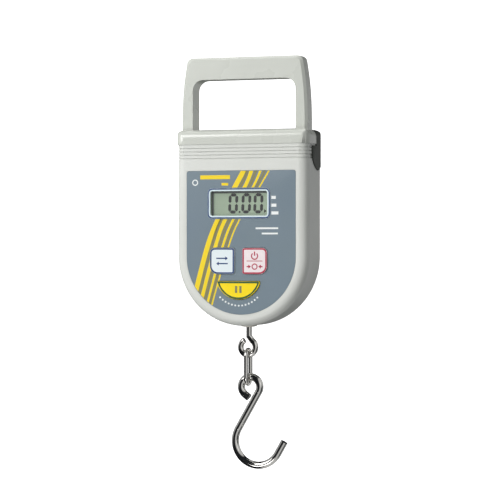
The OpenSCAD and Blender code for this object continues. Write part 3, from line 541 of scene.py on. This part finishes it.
def print_stripes():
    for name, line, width, ink in STRIPES:
        piece = panel(name, ribbon(eased(line), width), LABEL_FRONT - INK, INK + SINK,
                      ink_yellow if ink == "yellow" else ink_olive, "housing")
        cut_to(piece, label_edge(0.3), True)
        cut_to(piece, node_outline("display_bezel", STRIPE_GAP), False)
        cut_to(piece, node_outline("unit_key", STRIPE_GAP), False)
        cut_to(piece, moon("hold_key", STRIPE_GAP), False)


print_stripes()


def rim(name, outer, inner, y_front, thick, ink, body):
    """A flat ring between two outlines."""
    ring = panel(name, outer, y_front, thick, ink, body)
    cut = panel("cutter", inner, y_front - 2, thick + 4, ink, body)
    modify(ring, "BOOLEAN", object=cut, solver="EXACT", operation="DIFFERENCE")
    bpy.data.objects.remove(cut)
    return ring


def print_rims():
    """The coloured lines round the display and the keys."""
    for node, outline, wide, ink, body in (
            ("display_bezel", node_outline, 0.9, ink_blue, "housing"),
            ("unit_key", node_outline, 1.1, ink_blue, "unit_key"),
            ("tare_key", node_outline, 1.1, ink_crimson, "tare_key"),
            ("hold_key", moon, 1.2, ink_green, "hold_key")):
        rim(node + "_line", outline(node, -0.13), outline(node, -wide),
            print_level(node), INK + SINK, ink, body)


print_rims()


def symbol(name, shapes, node, ink, body):
    """One printed mark made of several outlines, on the front of a node; the same flat layer also
    draws the painted shadow on the display glass.
    """
    parts = [panel("mark", outline, print_level(node), INK + SINK, ink, body)
             for outline in shapes]
    deselect()
    for part in parts:
        part.select_set(True)
    bpy.context.view_layer.objects.active = parts[0]
    bpy.ops.object.join()
    parts[0].name = name
    parts[0].data.name = name
    return parts[0]


def middle(node):
    x0, x1, z0, z1, _ = front_face(node)
    return (x0 + x1) / 2, (z0 + z1) / 2


def arrow(x, z, length, way):
    """A thin arrow pointing right (way 1) or left (way -1), centred on x and z."""
    tip = x + way * length / 2
    neck = tip - way * 1.7
    return [bar((x - way * length / 2, z), (neck, z), 0.8),
            [(neck, z + 1.3), (tip, z), (neck, z - 1.3)]]


def arc_band(x, z, radius, width, start, end, count=18):
    """Outline of a round band between two angles."""
    turn = [math.radians(start + (end - start) * k / count) for k in range(count + 1)]
    outer = [(x + (radius + width / 2) * math.cos(t), z + (radius + width / 2) * math.sin(t))
             for t in turn]
    inner = [(x + (radius - width / 2) * math.cos(t), z + (radius - width / 2) * math.sin(t))
             for t in turn]
    return outer + inner[::-1]


def print_symbols():
    """Plain pictograms in place of lettering."""
    x, z = middle("unit_key")
    symbol("unit_mark", arrow(x, z + 1.7, 8, 1) + arrow(x, z - 1.7, 8, -1),
           "unit_key", ink_blue, "unit_key")
    x, z = middle("tare_key")
    power = [arc_band(x, z + 3.2, 2.1, 0.75, -230, 50), bar((x, z + 3.4), (x, z + 6.1), 0.8)]
    zero = [bar((x - 5.4, z), (x + 5.4, z), 0.45),
            arc_band(x, z - 3.6, 1.7, 0.7, 0, 359.9, 24)]
    zero += arrow(x - 4, z - 3.6, 2.9, 1) + arrow(x + 4, z - 3.6, 2.9, -1)
    symbol("tare_mark", power + zero, "tare_key", ink_crimson, "tare_key")
    x, z = middle("hold_key")
    symbol("hold_mark", [bar((x - 1.5, z - 1.6), (x - 1.5, z + 2.9), 1.5),
                         bar((x + 1.5, z - 1.6), (x + 1.5, z + 2.9), 1.5)],
           "hold_key", ink_olive, "hold_key")
    dots = []
    foot_z, radius, count, step = -136.3, 17.9, 13, 7.6
    for k in range(count):
        a = math.radians(-90 + (k - count // 2) * step)
        dots.append(disc(x + radius * math.cos(a), foot_z + radius * math.sin(a), 0.62, 14))
    symbol("foot_dots", dots, "face_label", ink_white, "housing")
    ticks = [bar((21, -84.4), (24, -84.4), 2.0), bar((21, -89.4), (24.4, -89.4), 2.0),
             bar((21, -94.4), (25.8, -94.4), 2.0)]
    symbol("unit_ticks", ticks, "face_label", ink_white, "housing")
    spec = [bar((10.2, -104.2), (25.6, -104.2), 1.1), bar((14.4, -107.6), (25.4, -107.6), 1.1)]
    symbol("spec_bars", spec, "face_label", ink_white, "housing")
    badge = [bar((-28, -71), (-7.4, -71), 2.6), bar((-13.2, -75.6), (-8.6, -75.6), 1.7)]
    symbol("head_bar", badge, "face_label", ink_yellow, "housing")
    symbol("head_hanger", [arc_band(-31.6, -74.4, 1.7, 0.7, 0, 359.9, 24)],
           "face_label", ink_white, "housing")


print_symbols()


# ---- display -------------------------------------------------------------------------

# The strokes of a nought, in half widths and quarter heights of the figure
SEGMENTS = {"a": ((-1, 2), (1, 2)), "b": ((1, 2), (1, 0)), "c": ((1, 0), (1, -2)),
            "d": ((-1, -2), (1, -2)), "e": ((-1, 0), (-1, -2)), "f": ((-1, 2), (-1, 0))}


def segment(a, b, width):
    """One stroke of a figure, with mitred ends."""
    run = Vector((b[0] - a[0], b[1] - a[1])).normalized()
    side = Vector((-run.y, run.x)) * width / 2
    a0, b0 = Vector(a) + run * 0.18, Vector(b) - run * 0.18
    a1, b1 = a0 + run * width / 2, b0 - run * width / 2
    return [tuple(a0), tuple(a1 + side), tuple(b1 + side), tuple(b0), tuple(b1 - side),
            tuple(a1 - side)]


FIGURE_X = (-6.2, 2.8, 11.1)
FIGURE_HALF = 2.3
FIGURE_QUARTER = 2.75
FIGURE_LEAN = 0.12
STROKE = 2.0


def show_reading():
    """Three noughts and a point, as the liquid crystal shows them at no load, and a painted shadow
    of the bezel along the top and left of the glass.
    """
    z = middle("display_bezel")[1]
    shapes = []
    for x in FIGURE_X:
        for a, b in SEGMENTS.values():
            shapes.append(segment(
                (x + FIGURE_HALF * a[0] + FIGURE_LEAN * a[1], z + FIGURE_QUARTER * a[1]),
                (x + FIGURE_HALF * b[0] + FIGURE_LEAN * b[1], z + FIGURE_QUARTER * b[1]), STROKE))
    shapes.append(bar((-2.4, z - 5.5), (-1.2, z - 5.5), 1.2))
    shapes.append([(15.0, z - 6.2), (16.9, z - 5.0), (15.0, z - 3.8)])
    symbol("reading", shapes, "lcd_glass", lcd_segment, "housing")
    # Painted shadow: dark bars along the top and left edges of the window, where the bezel's
    # shadow falls on the recessed glass
    low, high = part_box("display_window")
    x0, x1 = low.x / MM, high.x / MM
    z0, z1 = low.z / MM, high.z / MM
    symbol("glass_painted_shadow", [bar((x0, z1 - 0.6), (x1, z1 - 0.6), 1.4),
                          bar((x0 + 0.6, z0), (x0 + 0.6, z1), 1.4)],
           "lcd_glass", lcd_shadow, "housing")


show_reading()


# ---- stage and light ---------------------------------------------------------------

FLOOR_RADIUS = 3.2
FLOOR_LEVEL = -0.42
WALL_HEIGHT = 4


def set_stage():
    """A pale round floor with a wall all round, both lit from within."""
    deselect()
    bpy.ops.mesh.primitive_circle_add(vertices=96, radius=FLOOR_RADIUS, fill_type="NGON",
                                      location=(0, 0, FLOOR_LEVEL))
    floor = bpy.context.object
    floor.name = "floor"
    bpy.ops.object.mode_set(mode="EDIT")
    bpy.ops.mesh.select_mode(type="FACE")
    bpy.ops.mesh.select_all(action="SELECT")
    bpy.ops.mesh.inset(thickness=0.4)
    bpy.ops.object.mode_set(mode="OBJECT")
    for face in floor.data.polygons:
        face.select = False
    for edge in floor.data.edges:
        edge.select = all(floor.data.vertices[i].co.length > FLOOR_RADIUS - 0.1
                          for i in edge.vertices)
    bpy.ops.object.mode_set(mode="EDIT")
    bpy.ops.mesh.select_mode(type="EDGE")
    bpy.ops.mesh.extrude_region_move(TRANSFORM_OT_translate={"value": (0, 0, WALL_HEIGHT)})
    bpy.ops.mesh.select_all(action="SELECT")
    bpy.ops.mesh.normals_make_consistent(inside=True)
    bpy.ops.object.mode_set(mode="OBJECT")
    bpy.ops.object.shade_smooth()
    paper, shader = new_material("backdrop_paper", "#ffffff", 0.9, Emission_Strength=0.9)
    shader.inputs["Emission Color"].default_value = hex_colour("#ffffff")
    grain(paper, shader, 3.0, 0.02)
    floor.data.materials.append(paper)
    floor.visible_diffuse = False
    floor.visible_glossy = False
    floor.visible_shadow = False


def softbox(name, place, target, size, power):
    """A soft rectangular lamp at a place, turned to its target."""
    data = bpy.data.lights.new(name, "AREA")
    data.shape = "RECTANGLE"
    data.size, data.size_y = size
    data.energy = power
    light = bpy.data.objects.new(name, data)
    bpy.context.scene.collection.objects.link(light)
    light.location = place
    aim = Vector(target) - Vector(place)
    light.rotation_euler = aim.to_track_quat("-Z", "Y").to_euler()


# What the plated wire mirrors, from left to right: white walls between black flags
FLAGS = ((0.0, "#d8dadb"), (0.09, "#1a1c1f"), (0.55, "#26292d"), (0.66, "#ffffff"),
         (0.9, "#f0f2f2"), (1.0, "#55585b"))


def set_light():
    """A pale studio with black flags for the plated wire, and four soft lamps."""
    world = bpy.data.worlds.new("studio")
    bpy.context.scene.world = world
    world.use_nodes = True
    tree = world.node_tree
    place = tree.nodes.new("ShaderNodeTexCoord")
    lean = tree.nodes.new("ShaderNodeVectorMath")
    lean.operation = "DOT_PRODUCT"
    lean.inputs[1].default_value = (-0.42, -0.08, 0.3)
    centre = tree.nodes.new("ShaderNodeMath")
    centre.operation = "ADD"
    centre.inputs[1].default_value = 0.5
    ramp = tree.nodes.new("ShaderNodeValToRGB")
    ramp.color_ramp.elements[0].position = 0.15
    ramp.color_ramp.elements[0].color = hex_colour("#6c6f70")
    ramp.color_ramp.elements[1].position = 0.72
    ramp.color_ramp.elements[1].color = hex_colour("#ffffff")
    tree.links.new(place.outputs["Generated"], lean.inputs[0])
    tree.links.new(lean.outputs["Value"], centre.inputs[0])
    tree.links.new(centre.outputs["Value"], ramp.inputs["Fac"])
    flags = tree.nodes.new("ShaderNodeValToRGB")
    flags.color_ramp.interpolation = "EASE"
    for k, (place_at, tone) in enumerate(FLAGS):
        stop = flags.color_ramp.elements[k] if k < 2 else flags.color_ramp.elements.new(place_at)
        stop.position = place_at
        stop.color = hex_colour(tone)
    across = tree.nodes.new("ShaderNodeVectorMath")
    across.operation = "DOT_PRODUCT"
    across.inputs[1].default_value = (0.5, 0, -0.2)
    half = tree.nodes.new("ShaderNodeMath")
    half.operation = "ADD"
    half.inputs[1].default_value = 0.5
    ray = tree.nodes.new("ShaderNodeLightPath")
    pick = tree.nodes.new("ShaderNodeMix")
    pick.data_type = "RGBA"
    tree.links.new(place.outputs["Generated"], across.inputs[0])
    tree.links.new(across.outputs["Value"], half.inputs[0])
    tree.links.new(half.outputs["Value"], flags.inputs["Fac"])
    tree.links.new(ray.outputs["Is Glossy Ray"], pick.inputs["Factor"])
    tree.links.new(ramp.outputs["Color"], pick.inputs["A"])
    tree.links.new(flags.outputs["Color"], pick.inputs["B"])
    background = tree.nodes["Background"]
    background.inputs["Strength"].default_value = 0.72
    tree.links.new(pick.outputs["Result"], background.inputs["Color"])
    softbox("key_light", (-0.8, -1.2, 0.6), (0, 0, -0.1), (0.7, 0.9), 12.3)
    softbox("fill_light", (1.3, -0.9, 0.1), (0, 0, -0.12), (0.3, 1.0), 0.9)
    softbox("low_light", (-0.3, -1.2, -0.9), (0, 0, -0.14), (0.6, 0.4), 4)
    softbox("top_light", (-0.1, 0.1, 1.3), (0, 0, 0), (0.9, 0.6), 3.2)


set_stage()
set_light()
bpy.context.scene.view_settings.view_transform = "Standard"
